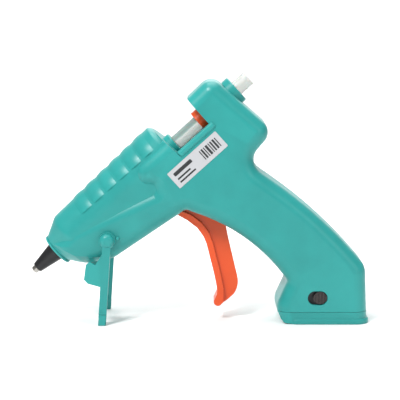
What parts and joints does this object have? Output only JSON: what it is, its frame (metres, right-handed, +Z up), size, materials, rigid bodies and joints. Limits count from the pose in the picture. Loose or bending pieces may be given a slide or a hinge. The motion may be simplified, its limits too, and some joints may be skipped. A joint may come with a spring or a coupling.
{
  "type": "glue gun",
  "caption": "Cordless hot-melt glue gun with a ribbed barrel, lever trigger, slanted battery grip, slide switch and a fold-away stand under the nose.",
  "frame": {"origin": "centre of the bounding box's base, on the surface that the gun stands on", "axes": "+X to the rear, away from the nozzle; +Y to the gun's right side; +Z up"},
  "size_m": [0.1649, 0.04, 0.1207],
  "materials": {
    "housing": "fine satin moulded plastic, teal",
    "orange_plastic": "satin moulded plastic, orange",
    "sleeve_rubber": "matt charcoal silicone rubber",
    "nozzle_metal": "turned and plated",
    "chamber_metal": "machined",
    "heater_plate": "fired ceramic, matt",
    "insulation": "amber film",
    "spring_steel": "drawn, plated",
    "screw_steel": "blackened zinc",
    "silicone": "matt off-white silicone",
    "glue": "translucent milky hot-melt adhesive",
    "dark_plastic": "matt black moulded plastic",
    "switch_black": "ribbed black plastic",
    "cell_wrap": "shrink-wrapped steel can",
    "label_film": "satin printed film"
  },
  "bodies": {
    "housing": {"battery_cells": "cell_wrap", "battery_contacts": "spring_steel", "battery_tray": "dark_plastic", "front_guide_bush": "housing", "heater_clamp": "spring_steel", "heater_insulation": "insulation", "housing_left": "housing", "housing_right": "housing", "housing_screws": "screw_steel", "inlet_sleeve": "silicone", "label_plate": "label_film", "melt_chamber": "chamber_metal", "nose_ring": "housing", "nozzle_sleeve": "sleeve_rubber", "nozzle_tip": "nozzle_metal", "ptc_heater": "heater_plate", "rear_guide_bush": "housing", "switch_body": "dark_plastic", "trigger_pin": "spring_steel", "trigger_spring": "spring_steel"},
    "trigger": {"trigger": "orange_plastic"},
    "carriage": {"feed_carriage": "orange_plastic"},
    "stick": {"glue_stick": "glue"},
    "stand": {"stand": "housing", "stand_pins": "spring_steel"},
    "slider": {"switch_slider": "switch_black"},
    "cover": {"battery_cover": "housing"}
  },
  "joints": [
    {"name": "trigger_pull", "type": "hinge", "parent": "housing", "child": "trigger", "pos_m": [0.019, 0, 0.07], "axis": [0, -1, 0], "range_deg": [0, 14], "stiffness_Nm_per_rad": 0.02, "springref_deg": -17.19},
    {"name": "carriage_feed", "type": "slide", "parent": "housing", "child": "carriage", "axis": [-0.7431, 0, -0.6691], "range_m": [0, 0.0056]},
    {"name": "stick_feed", "type": "slide", "parent": "housing", "child": "stick", "axis": [-0.7431, 0, -0.6691], "range_m": [0, 0.0056]},
    {"name": "stand_fold", "type": "hinge", "parent": "housing", "child": "stand", "pos_m": [-0.0446, 0, 0.0409], "axis": [0, -1, 0], "range_deg": [0, 110]},
    {"name": "power_switch", "type": "slide", "parent": "housing", "child": "slider", "axis": [-1, 0, 0], "range_m": [0, 0.0025]},
    {"name": "cover_slide", "type": "slide", "parent": "housing", "child": "cover", "axis": [1, 0, 0], "range_m": [0, 0.0045]}
  ],
  "couplings": [
    {"joint": "carriage_feed", "follows": "trigger_pull", "m_per_rad": 0.0229},
    {"joint": "stick_feed", "follows": "trigger_pull", "m_per_rad": 0.0229}
  ]
}
